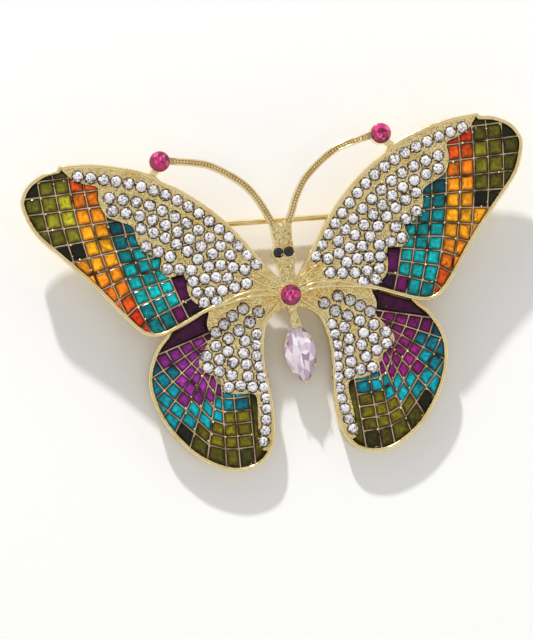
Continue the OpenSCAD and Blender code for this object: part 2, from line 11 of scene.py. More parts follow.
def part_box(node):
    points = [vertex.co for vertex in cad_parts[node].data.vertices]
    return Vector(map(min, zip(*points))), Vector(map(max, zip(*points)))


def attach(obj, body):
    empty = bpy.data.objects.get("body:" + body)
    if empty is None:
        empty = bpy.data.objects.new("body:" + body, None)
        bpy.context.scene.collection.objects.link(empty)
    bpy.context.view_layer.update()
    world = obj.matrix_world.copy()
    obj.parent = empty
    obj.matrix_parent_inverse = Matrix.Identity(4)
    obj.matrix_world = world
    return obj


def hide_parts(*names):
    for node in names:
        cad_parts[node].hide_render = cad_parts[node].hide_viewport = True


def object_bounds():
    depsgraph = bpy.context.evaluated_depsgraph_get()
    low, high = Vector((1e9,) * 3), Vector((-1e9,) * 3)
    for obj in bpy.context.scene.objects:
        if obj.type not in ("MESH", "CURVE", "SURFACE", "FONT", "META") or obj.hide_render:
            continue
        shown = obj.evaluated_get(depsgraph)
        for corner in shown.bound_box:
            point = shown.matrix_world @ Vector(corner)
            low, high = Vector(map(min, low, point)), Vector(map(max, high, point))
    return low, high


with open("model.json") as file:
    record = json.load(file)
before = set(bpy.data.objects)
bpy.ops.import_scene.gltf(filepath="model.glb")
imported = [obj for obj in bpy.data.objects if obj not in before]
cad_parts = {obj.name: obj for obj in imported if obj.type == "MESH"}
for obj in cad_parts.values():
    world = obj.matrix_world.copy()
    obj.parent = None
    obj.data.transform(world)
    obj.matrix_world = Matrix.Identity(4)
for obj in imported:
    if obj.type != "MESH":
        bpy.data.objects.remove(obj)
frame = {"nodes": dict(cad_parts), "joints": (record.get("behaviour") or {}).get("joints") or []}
cad_low, cad_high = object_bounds()
rng = random.Random(11)

MM = 0.001
SIDES = ("right", "left")
ANTENNA_W = 0.9 * MM
WELD_GAP = 0.0001 * MM      # vertices of a CAD node closer than this are one
LEVEL_GAP = 0.001 * MM      # heights closer than this are one level

# The brooch's own plane: the hinge axis lies in it, so it gives the lean of the brooch
hinge = next(j for j in frame["joints"] if j["name"] == "pin_swing")
tilt = math.atan2(hinge["axis"][2], hinge["axis"][1])
PLANE = Matrix.Rotation(tilt, 3, "X")
TO_PLANE = PLANE.inverted()


def plane_z(node):
    """The heights of a CAD node's vertices in the brooch's plane."""
    return [(TO_PLANE @ v.co).z for v in frame["nodes"][node].data.vertices]


plane_origin = TO_PLANE @ sum(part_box("thorax_stone"), Vector()) / 2
plane_back = min(plane_z("lower_wing_right"))


# ---- Reading the frame ----------------------------------------------------------

def welded(node):
    """A CAD node as a bmesh in the brooch's plane, with its shared vertices joined."""
    bm = bmesh.new()
    bm.from_mesh(frame["nodes"][node].data)
    bmesh.ops.remove_doubles(bm, verts=bm.verts, dist=WELD_GAP)
    bmesh.ops.transform(bm, matrix=TO_PLANE.to_4x4(), verts=bm.verts)
    return bm


def islands(bm):
    """The separate solids of a bmesh, each as a list of vertices."""
    left = set(bm.verts)
    found = []
    while left:
        seed = left.pop()
        group, edge = [seed], [seed]
        while edge:
            vert = edge.pop()
            for link in vert.link_edges:
                other = link.other_vert(vert)
                if other in left:
                    left.remove(other)
                    group.append(other)
                    edge.append(other)
        found.append(group)
    return sorted(found, key=lambda g: tuple(round(c, 7) for c in min(v.co[:] for v in g)))


def stone_seats(node):
    """Centre, radius and top height of each round stone of a node, in the brooch's plane."""
    bm = welded(node)
    seats = []
    for group in islands(bm):
        xs = [v.co.x for v in group]
        ys = [v.co.y for v in group]
        middle = Vector(((min(xs) + max(xs)) / 2, (min(ys) + max(ys)) / 2))
        seats.append((middle, (max(xs) - min(xs)) / 2, max(v.co.z for v in group)))
    bm.free()
    return seats


def flat_loop(group, level):
    """The ordered outer edge of a solid's flat face at one height."""
    flat_verts = {v for v in group if abs(v.co.z - level) < LEVEL_GAP}
    rim = {}
    for vert in sorted(flat_verts, key=lambda v: v.co[:]):
        for link in vert.link_edges:
            other = link.other_vert(vert)
            flat = [f for f in link.link_faces if all(v in flat_verts for v in f.verts)]
            if other in flat_verts and len(flat) == 1:
                rim.setdefault(vert, []).append(other)
    best = []
    while rim:
        start = next(iter(rim))
        loop, last, here = [start], None, start
        while True:
            ahead = next((v for v in rim.get(here, ()) if v is not last and v not in loop[1:]), None)
            if ahead is None or ahead is start:
                break
            loop.append(ahead)
            last, here = here, ahead
        for vert in loop:
            rim.pop(vert, None)
        best = max(best, loop, key=len)
    return [v.co.xy.copy() for v in best]


def tile_outlines(node):
    """The ordered outline and height of each flat-topped tile of a node, in the brooch's plane."""
    bm = welded(node)
    tiles = []
    for group in islands(bm):
        top = max(v.co.z for v in group)
        tiles.append((flat_loop(group, top), top))
    bm.free()
    return tiles


def back_outline(node):
    """The outline of a tray's flat back."""
    bm = welded(node)
    loop = flat_loop(bm.verts, min(v.co.z for v in bm.verts))
    bm.free()
    return loop


def centreline(node, width):
    """The middle of a strip of even width, from its root outward, and the height of its top."""
    bm = welded(node)
    low = min(v.co.z for v in bm.verts)
    top = max(v.co.z for v in bm.verts)
    flat = [v.co.xy.copy() for v in bm.verts if v.co.z < low + LEVEL_GAP]
    bm.free()
    pairs = [(a, b) for k, a in enumerate(flat) for b in flat[k:]]
    left = [(a + b) / 2 for a, b in pairs if abs((a - b).length - width) < 2 * LEVEL_GAP]
    line = [min(left, key=lambda p: p.y)]
    left.remove(line[0])
    while left:
        after = min(left, key=lambda p: (p - line[-1]).length)
        left.remove(after)
        line.append(after)
    return line, top


# ---- Making pieces --------------------------------------------------------------

def place(point, height=None):
    """A point of the brooch's plane in the row frame."""
    return PLANE @ Vector((point[0], point[1], point[2] if height is None else height))


def finish_piece(name, bm, material, replaced=(), smooth=False):
    """A bmesh as a visible piece that rides the brooch, in place of the CAD nodes in replaced."""
    bmesh.ops.recalc_face_normals(bm, faces=bm.faces)
    mesh = bpy.data.meshes.new(name)
    bm.to_mesh(mesh)
    bm.free()
    for face in mesh.polygons:
        face.use_smooth = smooth
    mesh.materials.append(material)
    piece = bpy.data.objects.new(name, mesh)
    bpy.context.scene.collection.objects.link(piece)
    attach(piece, "brooch")
    if replaced:
        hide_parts(*replaced)


def paint(face, layer, colours):
    """One colour for each corner of a face."""
    for loop, colour in zip(face.loops, colours):
        loop[layer] = (*colour, 1.0)


# ---- Materials ------------------------------------------------------------------

def new_material(name):
    """An empty material, its node tree and its shader."""
    material = bpy.data.materials.new(name)
    material.use_nodes = True
    tree = material.node_tree
    return material, tree, tree.nodes["Principled BSDF"]


def node_of(tree, kind, **values):
    """A new node with its inputs, or else its settings, filled in by name."""
    made = tree.nodes.new(kind)
    for key, value in values.items():
        if key in made.inputs:
            made.inputs[key].default_value = value
        else:
            setattr(made, key, value)
    return made


def ramp_of(tree, source, stops):
    """A value turned into a colour, through (place, colour) stops."""
    made = tree.nodes.new("ShaderNodeValToRGB")
    tree.links.new(source, made.inputs["Fac"])
    elements = made.color_ramp.elements
    while len(elements) < len(stops):
        elements.new(0.5)
    for element, (at, colour) in zip(elements, stops):
        element.position = at
        element.color = (*colour, 1.0)
    return made.outputs["Color"]


def gold_material(name, bright, shade, grain, depth, rough):
    """Pale gold plate: cloudy colour, soft dents of a casting and fine stippling."""
    material, tree, shader = new_material(name)
    where = node_of(tree, "ShaderNodeTexCoord")
    cloud = node_of(tree, "ShaderNodeTexNoise", Scale=420.0, Detail=3.0)
    tree.links.new(where.outputs["Object"], cloud.inputs["Vector"])
    colour = ramp_of(tree, cloud.outputs["Fac"], [(0.34, shade), (0.56, bright)])
    tree.links.new(colour, shader.inputs["Base Color"])
    shader.inputs["Metallic"].default_value = 1.0
    fine = node_of(tree, "ShaderNodeTexNoise", Scale=2200.0, Detail=2.0)
    tree.links.new(where.outputs["Object"], fine.inputs["Vector"])
    spread = node_of(tree, "ShaderNodeMapRange")
    spread.inputs["To Min"].default_value = rough * 0.6
    spread.inputs["To Max"].default_value = rough * 1.7
    tree.links.new(fine.outputs["Fac"], spread.inputs["Value"])
    tree.links.new(spread.outputs["Result"], shader.inputs["Roughness"])
    cells = node_of(tree, "ShaderNodeTexVoronoi", Scale=grain, feature="SMOOTH_F1")
    tree.links.new(where.outputs["Object"], cells.inputs["Vector"])
    bump = node_of(tree, "ShaderNodeBump", Strength=1.0, Distance=depth)
    tree.links.new(cells.outputs["Distance"], bump.inputs["Height"])
    tree.links.new(bump.outputs["Normal"], shader.inputs["Normal"])
    return material


def stone_material(name, stops, coat=0.6):
    """Cut glass under a clear coat: each facet's tone is painted light, the sparkle and shade that the cut
    throws.
    """
    material, tree, shader = new_material(name)
    tone = node_of(tree, "ShaderNodeAttribute", attribute_name="tone")
    colour = ramp_of(tree, tone.outputs["Fac"], stops)
    tree.links.new(colour, shader.inputs["Base Color"])
    shader.inputs["Roughness"].default_value = 0.05
    shader.inputs["Specular IOR Level"].default_value = 0.4
    shader.inputs["Coat Weight"].default_value = coat
    shader.inputs["Coat Roughness"].default_value = 0.02
    return material


def enamel_material(name):
    """Glassy enamel: the tile's colour with its painted shade and painted light, streaked, under a clear wet
    coat.
    """
    material, tree, shader = new_material(name)
    tint = node_of(tree, "ShaderNodeAttribute", attribute_name="tone")
    where = node_of(tree, "ShaderNodeTexCoord")
    streak = node_of(tree, "ShaderNodeTexNoise", Scale=1300.0, Detail=3.0, Distortion=1.0)
    tree.links.new(where.outputs["Object"], streak.inputs["Vector"])
    shade = ramp_of(tree, streak.outputs["Fac"], [(0.32, (0.5, 0.5, 0.5)), (0.66, (1.35, 1.35, 1.35))])
    product = node_of(tree, "ShaderNodeMix", data_type="RGBA", blend_type="MULTIPLY")
    product.inputs["Factor"].default_value = 1.0
    tree.links.new(tint.outputs["Color"], product.inputs["A"])
    tree.links.new(shade, product.inputs["B"])
    tree.links.new(product.outputs["Result"], shader.inputs["Base Color"])
    shader.inputs["Roughness"].default_value = 0.12
    shader.inputs["Specular IOR Level"].default_value = 0.08
    shader.inputs["Coat Weight"].default_value = 0.35
    shader.inputs["Coat Roughness"].default_value = 0.1
    ripple = node_of(tree, "ShaderNodeTexNoise", Scale=650.0, Detail=1.0)
    tree.links.new(where.outputs["Object"], ripple.inputs["Vector"])
    bump = node_of(tree, "ShaderNodeBump", Strength=0.5, Distance=0.00008)
    tree.links.new(ripple.outputs["Fac"], bump.inputs["Height"])
    tree.links.new(bump.outputs["Normal"], shader.inputs["Normal"])
    return material


# Each gold: its bright and shaded colour, the grain's scale and depth, and its roughness
cast_gold = gold_material("cast_gold", (1.0, 0.83, 0.42), (0.90, 0.67, 0.27), 3200.0, 0.00017, 0.13)
smooth_gold = gold_material("smooth_gold", (1.0, 0.84, 0.46), (0.94, 0.74, 0.36), 900.0, 0.00005, 0.12)
# The wall gold is painted dark, its shade nearly black: painted shade along the cell walls, with cloudy
# painted highlights
wall_shade_gold = gold_material("wall_shade_gold", (0.74, 0.53, 0.32), (0.10, 0.05, 0.02), 900.0, 0.00005, 0.14)
# The channel gold is a darker gold: painted shade in the antenna's channel
channel_shade_gold = gold_material("channel_shade_gold", (0.66, 0.49, 0.27), (0.50, 0.36, 0.18), 2300.0, 0.00003, 0.2)
# The seat gold is nearly black: painted shade for the gaps round the stones' seats
seat_shade_gold = gold_material("seat_shade_gold", (0.20, 0.12, 0.06), (0.03, 0.018, 0.012), 1500.0, 0.00002, 0.35)

clear_glass = stone_material("clear_glass", [
    (0.0, (0.03, 0.02, 0.02)), (0.35, (0.27, 0.25, 0.26)), (0.7, (0.66, 0.64, 0.65)), (1.0, (1.0, 0.99, 1.0))
])
fuchsia_glass = stone_material("fuchsia_glass", [
    (0.0, (0.07, 0.0, 0.015)), (0.4, (0.36, 0.003, 0.08)),
    (0.8, (0.72, 0.012, 0.20)), (1.0, (0.9, 0.12, 0.42))
])
black_glass = stone_material("black_glass", [(0.0, (0.001, 0.001, 0.002)), (1.0, (0.02, 0.02, 0.026))], 0.1)
pink_glass = stone_material("pink_glass", [
    (0.0, (0.28, 0.19, 0.27)), (0.45, (0.66, 0.50, 0.62)), (0.8, (0.86, 0.76, 0.84)), (1.0, (1, 0.95, 1))
])
enamel = enamel_material("enamel")


# ---- Stones ---------------------------------------------------------------------

def round_outline(radius):
    """A circle, as a function of the angle."""
    return lambda angle: Vector((radius * math.cos(angle), radius * math.sin(angle)))


def oval_outline(length, width, turn):
    """A pointed oval made of two arcs, long way along Y, then turned, as a function of the angle."""
    arc = (length * length + width * width) / (4 * width)
    spin = Matrix.Rotation(turn, 2)

    def at(angle):
        y = length / 2 * math.sin(angle)
        x = math.sqrt(arc * arc - y * y) - (arc - width / 2)
        return spin @ Vector((math.copysign(x, math.cos(angle)), y))
    return at


TABLE = 0.55            # a stone's table, as a share of its width
CROWN = 0.42            # a round stone's crown, as a share of its radius
NAVETTE_CROWN = 0.75 * MM
SEAT_SHARE = 0.98       # a stone's width, as a share of its seat's
# Rings of a stone under its table: share of its width, and depth as a share of its crown
KITE_RING = (0.82, 0.45)
GIRDLE_RING = (1.0, 1.0)
LOW_RING = (0.98, 1.6)
# How bright each kind of facet is painted: painted sparkle on the table and kites, painted shade toward the
# girdle and darkest under it
TABLE_TONE = 1.0
KITE_TONE = 0.9
GIRDLE_TONE = 0.6
UNDER_TONE = 0.1


def cut_stone(bm, layer, middle, height, outline, crown, shades, cuts=8, turn=0.0):
    """A stone with a flat table, star, kite and girdle facets, each facet painted in its own tone, from
    painted shade to painted sparkle.
    """
    def ring(count, shift, scale, depth):
        points = []
        for k in range(count):
            flat = middle + outline(turn + (k + shift) * math.tau / count) * scale
            points.append(bm.verts.new(place(flat, height - depth * crown)))
        return points

    def facet(share, *verts):
        face = bm.faces.new(verts)
        tone = share * rng.choice(shades)
        paint(face, layer, [(tone, tone, tone)] * len(verts))

    low = ring(2 * cuts, 0, *LOW_RING)
    girdle = ring(2 * cuts, 0, *GIRDLE_RING)
    kites = ring(cuts, 0.5, *KITE_RING)
    top = ring(cuts, 0, TABLE, 0)
    inner = ring(cuts, 0.5, 0.5 * TABLE, 0)
    centre = bm.verts.new(place(middle, height))
    for k in range(cuts):
        after = (k + 1) % cuts
        facet(TABLE_TONE, centre, inner[k - 1], top[k], inner[k])
        facet(TABLE_TONE, inner[k], top[k], top[after])
        facet(KITE_TONE, top[k], kites[k], top[after])
        facet(KITE_TONE, top[k], kites[k - 1], girdle[2 * k], kites[k])
        facet(GIRDLE_TONE, kites[k], girdle[2 * k], girdle[2 * k + 1])
        facet(GIRDLE_TONE, kites[k], girdle[2 * k + 1], girdle[(2 * k + 2) % (2 * cuts)])
    for k in range(2 * cuts):
        after = (k + 1) % (2 * cuts)
        facet(UNDER_TONE, girdle[k], low[k], low[after], girdle[after])


# The painted tones, from shade to sparkle, that a stone's facets are drawn from
CLEAR_SHADES = (0.15, 0.4, 0.6, 0.7, 0.8, 0.85, 0.9, 0.95, 1.0, 1.0)
DEEP_SHADES = (0.05, 0.25, 0.4, 0.5, 0.6, 0.75, 0.9, 1.0)
NAVETTE_SHADES = (0.1, 0.35, 0.5, 0.6, 0.7, 0.8, 0.9, 1.0, 1.0)


def stones(node, material, shades):
    """Every round stone of a node, cut, a little smaller than the seat that it sits in."""
    bm = bmesh.new()
    layer = bm.loops.layers.float_color.new("tone")
    for middle, radius, top in stone_seats(node):
        outline = round_outline(radius * SEAT_SHARE)
        cut_stone(bm, layer, middle, top, outline, CROWN * radius, shades, turn=rng.random() * math.tau)
    finish_piece(node + "_cut", bm, material, (node,))


for side in SIDES:
    for family in ("edge", "upper", "lower", "string"):
        stones(f"{family}_stones_{side}", clear_glass, CLEAR_SHADES)
    stones(f"tip_stone_{side}", fuchsia_glass, DEEP_SHADES)
stones("thorax_stone", fuchsia_glass, DEEP_SHADES)
stones("eye_stones", black_glass, DEEP_SHADES)


def navette():
    """The tail stone, pointed at both ends, along the line between its two points."""
    bm = welded("navette_stone")
    tail = min((v.co.copy() for v in bm.verts), key=lambda p: p.y)
    head = max((v.co.copy() for v in bm.verts), key=lambda p: p.y)
    top = max(v.co.z for v in bm.verts)
    xs = [v.co.x for v in bm.verts]
    bm.free()
    along = head.xy - tail.xy
    turn = -math.atan2(along.x, along.y)
    width = max(xs) - min(xs)
    bm = bmesh.new()
    layer = bm.loops.layers.float_color.new("tone")
    middle = (head.xy + tail.xy) / 2
    outline = oval_outline(along.length, width * SEAT_SHARE, turn)
    cut_stone(bm, layer, middle, top, outline, NAVETTE_CROWN, NAVETTE_SHADES, cuts=10)
    finish_piece("navette_cut", bm, pink_glass, ("navette_stone",))


navette()


# ---- Enamel ---------------------------------------------------------------------

TILE_RISE = 0.26 * MM
# Rings of a tile from its edge inward: share of its width, share of its rise, and painted shade, dark
# against the walls and a painted glow toward the middle
TILE_RINGS = ((1.0, 0.0, 0.04), (0.9, 0.45, 0.2), (0.7, 0.85, 0.8), (0.4, 1.0, 1.25))
TILE_TIP = (1.02, 1.1)                  # the same at the middle: share of the rise, and painted glow
LIGHT_END = Vector((0.25, -0.97))       # painted light: the glass is painted lighter toward this end of each tile
END_GAIN = 0.45
TILE_GAINS = (0.65, 1.3)                # darkest and lightest of the tiles


def pillow(bm, layer, outline, top, colour):
    """A domed tile with painted shade where the enamel meets its walls, a painted glow in its middle and
    painted light toward its lower end.
    """
    middle = sum(outline, Vector((0, 0))) / len(outline)
    reach = max((p - middle).length for p in outline)
    made = []
    for scale, lift, shade in TILE_RINGS:
        points = []
        for p in outline:
            flat = middle + (p - middle) * scale
            lean = 1 + END_GAIN * (flat - middle).dot(LIGHT_END) / reach
            points.append((bm.verts.new(place(flat, top + TILE_RISE * lift)), shade * lean))
        made.append(points)
    tip = (bm.verts.new(place(middle, top + TILE_RISE * TILE_TIP[0])), TILE_TIP[1])
    count = len(outline)

    def facet(corners):
        face = bm.faces.new([vert for vert, shade in corners])
        paint(face, layer, [tuple(c * shade for c in colour) for vert, shade in corners])

    for outer, inner in zip(made, made[1:]):
        for k in range(count):
            after = (k + 1) % count
            facet([outer[k], outer[after], inner[after], inner[k]])
    for k in range(count):
        facet([made[-1][k], made[-1][(k + 1) % count], tip])


def mixed(a, b, t):
    """The colour a share t of the way from a to b."""
    t = min(max(t, 0.0), 1.0)
    return tuple(p + (q - p) * t for p, q in zip(a, b))


# Each colour's tint at a place on a wing: millimetres outward (x) and up (y) from the thorax

def olive(x, y, upper, side):
    """A painted highlight at one spot of each wing, stronger on the left upper wing, fading to nearly black
    toward the wing's edge.
    """
    if upper:
        bright = (0.50, 0.46, 0.02) if side == "left" else (0.26, 0.23, 0.010)
        far = math.hypot(x - 27.0, y - 14.5) / 4.6
        return mixed(bright, (0.010, 0.013, 0.003), far ** 1.3)
    far = math.hypot((x - 9.8) * 0.8, y + 15.8) / 4.6
    return mixed((0.25, 0.20, 0.004), (0.010, 0.013, 0.003), far ** 1.3)


def orange(x, y, upper, side):
    """Amber half way up the wing, and red at both ends."""
    middle = 7.5 if side == "right" else 9.5
    heat = abs(y - middle) / 9
    return mixed((1.0, 0.42, 0.008), (0.66, 0.035, 0.003), heat ** 1.1)


def teal(x, y, upper, side):
    """Bright in the middle of its patch, and deep blue-green toward its ends."""
    if upper:
        return mixed((0.002, 0.40, 0.40), (0.001, 0.08, 0.11), (y - 4) / 7 if y > 4 else (2 - y) / 5)
    return mixed((0.002, 0.42, 0.47), (0.001, 0.09, 0.16), math.hypot(x - 13.5, y + 13.5) / 8)


def purple(x, y, upper, side):
    """Vivid in the middle of a lower wing, and dark in the band and beside the stones."""
    if upper:
        return mixed((0.14, 0.006, 0.10), (0.018, 0.002, 0.016), abs(x - 14.4) / 1.6)
    if y > -4.1:
        return (0.05, 0.003, 0.034)
    vivid = (0.34, 0.03, 0.34) if side == "left" else (0.32, 0.014, 0.19)
    return mixed(vivid, (0.10, 0.004, 0.08), abs(x - 14.2) / 5)


TINTS = {"olive": olive, "orange": orange, "teal": teal, "purple": purple}
tile_middles = {}       # by region and side: the middle and height of each of its tiles


def enamel_tiles(region, name, side):
    """One enamel colour of a wing, tile by tile."""
    node = f"{region}_{name}_{side}"
    bm = bmesh.new()
    layer = bm.loops.layers.float_color.new("tone")
    middles = tile_middles.setdefault((region, side), [])
    for outline, top in tile_outlines(node):
        middle = sum(outline, Vector((0, 0))) / len(outline)
        spot = (middle - plane_origin.xy) / MM
        colour = TINTS[name](abs(spot.x), spot.y, region == "upper", side)
        gain = rng.uniform(*TILE_GAINS)
        pillow(bm, layer, outline, top, tuple(c * gain for c in colour))
        middles.append((middle, top))
    finish_piece(node + "_fill", bm, enamel, (node,), smooth=True)


for side in SIDES:
    for name in ("olive", "orange", "teal", "purple"):
        enamel_tiles("upper", name, side)
    for name in ("purple", "teal", "olive"):
        enamel_tiles("lower", name, side)


# ---- Gold detail ----------------------------------------------------------------

def bead(bm, at, radius):
    """A small gold ball."""
    bmesh.ops.create_icosphere(bm, subdivisions=1, radius=radius, matrix=Matrix.Translation(at))


def circumcentre(a, b, c):
    """The point at one distance from three points, or None if they lie on a line."""
    d = 2 * (a.x * (b.y - c.y) + b.x * (c.y - a.y) + c.x * (a.y - b.y))
    if abs(d) < 1e-12:
        return None
    aa, bb, cc = a.length_squared, b.length_squared, c.length_squared
    x = (aa * (b.y - c.y) + bb * (c.y - a.y) + cc * (a.y - b.y)) / d
    y = (aa * (c.x - b.x) + bb * (a.x - c.x) + cc * (b.x - a.x)) / d
    return Vector((x, y))


CROSSING_REACH = 1.55 * MM      # furthest that a crossing is from the middles of its tiles
CROSSING_GAP = 0.5 * MM         # least distance between two crossings
BEADED_SHARE = 0.6              # share of the crossings that have a bead
CROSSING_RISE = 0.12 * MM       # from the tiles' tops up to the middle of a bead
CROSSING_RADII = (0.12, 0.19)   # of the smallest and largest bead, in millimetres


def wall_beads(region, side):
    """Small gold beads where the cell walls cross: midway between the tiles around them."""
    middles = tile_middles[region, side]
    points = [middle for middle, _ in middles]
    height = middles[0][1] + CROSSING_RISE
    faces = delaunay_2d_cdt(points, [], [], 0, 1e-7)[2]
    bm = bmesh.new()
    kept = []
    for a, b, c in faces:
        spot = circumcentre(points[a], points[b], points[c])
        if spot is None or (spot - points[a]).length > CROSSING_REACH:
            continue
        if any((spot - other).length < CROSSING_GAP for other in kept):
            continue
        kept.append(spot)
        if rng.random() < BEADED_SHARE:
            bead(bm, place(spot, height), rng.uniform(*CROSSING_RADII) * MM)
    finish_piece(f"{region}_wall_beads_{side}", bm, smooth_gold, smooth=True)


def all_seats(names, side):
    """The seats of several sets of pave stones on one side."""
    return [seat for name in names for seat in stone_seats(f"{name}_stones_{side}")]


GRAIN_RADIUS = 0.12 * MM
GRAIN_OFFSET = 0.09 * MM    # from a stone's edge out to the middle of a grain
GRAIN_DEPTH = 0.24 * MM     # from a stone's top down to the middle of a grain
GRAIN_GAP = 0.3 * MM        # least distance between two grains
GRAIN_WANDER = 0.25         # most that a grain is off its even place, in radians


def grain_beads(names, side, label):
    """The gold grains that hold the pave stones: four round each, shared by neighbours."""
    seats = all_seats(names, side)
    bm = bmesh.new()
    kept = []
    for middle, radius, top in seats:
        for k in range(4):
            angle = math.pi / 4 + k * math.pi / 2 + rng.uniform(-GRAIN_WANDER, GRAIN_WANDER)
            spot = middle + Vector((math.cos(angle), math.sin(angle))) * (radius + GRAIN_OFFSET)
            crowded = any((spot - m).length < r for m, r, _ in seats)
            if crowded or any((spot - other).length < GRAIN_GAP for other in kept):
                continue
            kept.append(spot)
            bead(bm, place(spot, top - GRAIN_DEPTH), GRAIN_RADIUS)
    finish_piece(f"{label}_grains_{side}", bm, smooth_gold, smooth=True)


SEAT_SIDES = 20
# A seat's edge from the inside out: share of the stone's radius, and depth under its top
SEAT_PROFILE = ((0.96, 0.37 * MM), (1.02, 0.27 * MM), (1.1, 0.27 * MM), (1.17, 0.39 * MM))


def seat_shade_rings(names, side, label):
    """Painted shade: a dark ring round each stone's seat, just under the stone, where the gap lies in
    shadow.
    """
    bm = bmesh.new()
    for middle, radius, top in all_seats(names, side):
        rings = []
        for scale, depth in SEAT_PROFILE:
            outline = round_outline(radius * scale)
            points = [middle + outline(k * math.tau / SEAT_SIDES) for k in range(SEAT_SIDES)]
            rings.append([bm.verts.new(place(p, top - depth)) for p in points])
        for outer, inner in zip(rings, rings[1:]):
            for k in range(SEAT_SIDES):
                after = (k + 1) % SEAT_SIDES
                bm.faces.new([outer[k], outer[after], inner[after], inner[k]])
    finish_piece(f"{label}_seat_shade_rings_{side}", bm, seat_shade_gold, smooth=True)


TUBE_SIDES = 6
TUBE_TAPER = 0.35       # a wire's radius at its end, and what each next point adds, as shares


def sideways(points, k):
    """The direction in the brooch's plane that is square to a line at its point k."""
    ahead = points[min(k + 1, len(points) - 1)] - points[max(k - 1, 0)]
    return Vector((-ahead.y, ahead.x, 0)).normalized()


def tube(bm, points, radius):
    """A round wire along points of the brooch's plane, thinner toward its ends."""
    rings = []
    for k, point in enumerate(points):
        across = sideways(points, k)
        here = radius * min(1.0, TUBE_TAPER + TUBE_TAPER * min(k, len(points) - 1 - k))
        ring = []
        for n in range(TUBE_SIDES):
            angle = n * math.tau / TUBE_SIDES
            offset = across * math.cos(angle) + Vector((0, 0, 1)) * math.sin(angle)
            ring.append(bm.verts.new(place(point + offset * here)))
        rings.append(ring)
    for first, second in zip(rings, rings[1:]):
        for n in range(TUBE_SIDES):
            after = (n + 1) % TUBE_SIDES
            bm.faces.new([first[n], first[after], second[after], second[n]])


def smooth_line(points, steps=6):
    """A smooth curve through a few points."""
    made = []
    for k in range(len(points) - 1):
        a, b = points[max(k - 1, 0)], points[k]
        c, d = points[k + 1], points[min(k + 2, len(points) - 1)]
        for n in range(steps):
            t = n / steps
            made.append(0.5 * (2 * b + (c - a) * t + (2 * a - 5 * b + 4 * c - d) * t * t
                               + (3 * b - a - 3 * c + d) * t ** 3))
    return made + [points[-1]]


ROOT_REACH = 3.2 * MM       # the rim wires stop this far from the thorax stone
RIM_RISE = 0.17 * MM        # from the cell walls' tops up to the middle of a rim wire


def rim_wire(region, side, inset, radius):
    """A rounded bead of gold along the edge of a wing, except at its root."""
    outline = back_outline(f"{region}_wing_{side}")
    height = max(plane_z(f"{region}_cells_{side}"))
    area = sum(a.x * b.y - b.x * a.y for a, b in zip(outline, outline[1:] + outline[:1]))
    turn = 1 if area > 0 else -1
    count = len(outline)
    points = []
    for k, point in enumerate(outline):
        ahead = (outline[(k + 1) % count] - outline[k - 1]).normalized()
        inward = Vector((-ahead.y, ahead.x)) * turn
        spot = point + inward * inset
        points.append(Vector((spot.x, spot.y, height + RIM_RISE)))
    start = min(range(count), key=lambda k: (points[k].xy - plane_origin.xy).length)
    points = points[start:] + points[:start]
    points = [p for p in points if (p.xy - plane_origin.xy).length > ROOT_REACH]
    bm = bmesh.new()
    tube(bm, points, radius)
    finish_piece(f"{region}_rim_wire_{side}", bm, smooth_gold, smooth=True)


VEIN_RADIUS = 0.15 * MM
# Root veins, from the thorax outward: millimetres in the brooch's plane, with their height
UPPER_VEINS = (
    ((1.4, 1.5, 3.5), (2.6, 2.6, 3.5), (4.0, 3.5, 3.45)),
    ((1.5, 1.1, 3.5), (3.2, 1.7, 3.5), (5.0, 2.9, 3.45)),
    ((1.5, 0.8, 3.45), (4.0, 1.2, 3.5), (7.0, 0.8, 3.5), (9.6, -0.2, 3.45)),
    ((1.5, 0.2, 3.3), (4.0, 0.55, 3.4), (6.5, 0.3, 3.4), (8.6, -0.1, 3.35)),
)
LOWER_VEINS = (
    ((1.5, -0.3, 2.5), (3.0, -0.7, 2.4), (5.0, -1.9, 2.2)),
    ((1.4, -0.7, 2.5), (2.4, -1.6, 2.4), (3.6, -2.6, 2.2), (4.5, -4.0, 2.15)),
)


def veins(side):
    """The raised veins at the roots of one side's wings."""
    mirror = 1 if side == "right" else -1
    middle = Vector((plane_origin.x, plane_origin.y, plane_back))
    bm = bmesh.new()
    for line in UPPER_VEINS + LOWER_VEINS:
        points = [middle + Vector((x * mirror, y, z)) * MM for x, y, z in line]
        tube(bm, smooth_line(points), VEIN_RADIUS)
    finish_piece(f"root_veins_{side}", bm, smooth_gold, smooth=True)


BEAD_STEP = 0.4 * MM        # from bead to bead along an antenna
BEAD_RADIUS = 0.17 * MM
EDGE_OFFSET = 0.33 * MM     # from an antenna's middle to each of its smooth edges
EDGE_RADIUS = 0.13 * MM


def antenna_detail(side):
    """The fine beading in an antenna's channel, and the smooth edge on each side of it."""
    line, top = centreline(f"antenna_{side}", ANTENNA_W)
    line = smooth_line([Vector((p.x, p.y, top)) for p in line], 3)
    bm = bmesh.new()
    gap = 0.0
    for a, b in zip(line, line[1:]):
        length = (b - a).length
        while gap < length:
            bead(bm, place(a + (b - a) * gap / length), BEAD_RADIUS)
            gap += BEAD_STEP
        gap -= length
    finish_piece(f"antenna_rope_{side}", bm, smooth_gold, smooth=True)
    bm = bmesh.new()
    for distance in (-EDGE_OFFSET, EDGE_OFFSET):
        tube(bm, [p + sideways(line, k) * distance for k, p in enumerate(line)], EDGE_RADIUS)
    finish_piece(f"antenna_edges_{side}", bm, smooth_gold, smooth=True)


